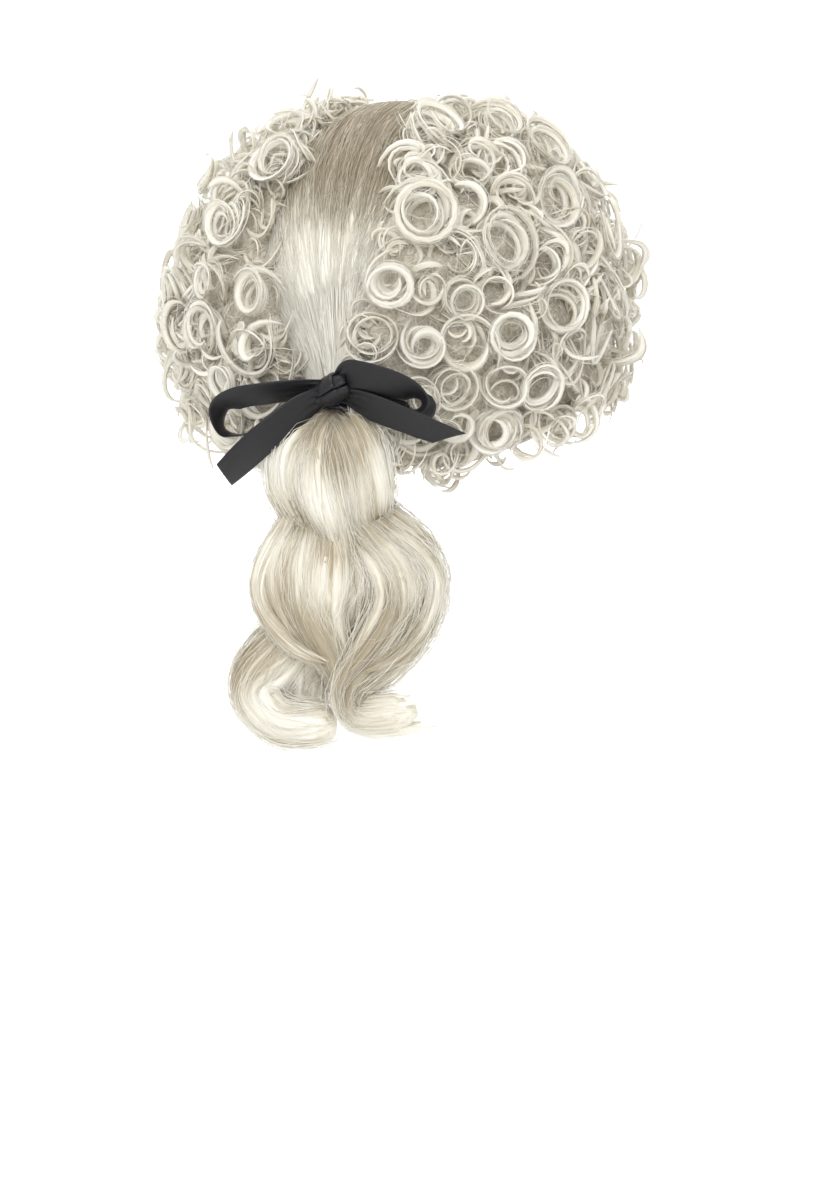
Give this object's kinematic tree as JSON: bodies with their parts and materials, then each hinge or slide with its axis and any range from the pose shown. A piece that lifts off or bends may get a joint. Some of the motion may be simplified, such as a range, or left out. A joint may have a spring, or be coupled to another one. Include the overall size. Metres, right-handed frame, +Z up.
{
  "type": "powdered wig",
  "caption": "Powdered wig: smooth hair combed back over a cap, ring curls at both sides, and a wavy queue tied at the nape with a ribbon bow.",
  "frame": {"origin": "inside of the cap at the crown, where the top of the head carries the wig", "axes": "+Z up, -Y towards the wearer's face, +Y towards the queue, +X to the wearer's left"},
  "size_m": [0.251, 0.2555, 0.3237],
  "materials": {
    "cap_net": "matt elastic net, off-white",
    "combed_hair": "satin synthetic hair, ivory grey",
    "curled_hair": "satin synthetic hair, ivory white",
    "ribbon": "black satin ribbon"
  },
  "bodies": {
    "root": {"cap": "cap_net", "combed_hair": "combed_hair", "curls_left": "curled_hair", "curls_right": "curled_hair", "queue": "curled_hair", "ribbon_tie": "ribbon", "ribbon_knot": "ribbon", "ribbon_loop_left": "ribbon", "ribbon_loop_right": "ribbon", "ribbon_tail_left": "ribbon", "ribbon_tail_right": "ribbon"}
  },
  "joints": []
}
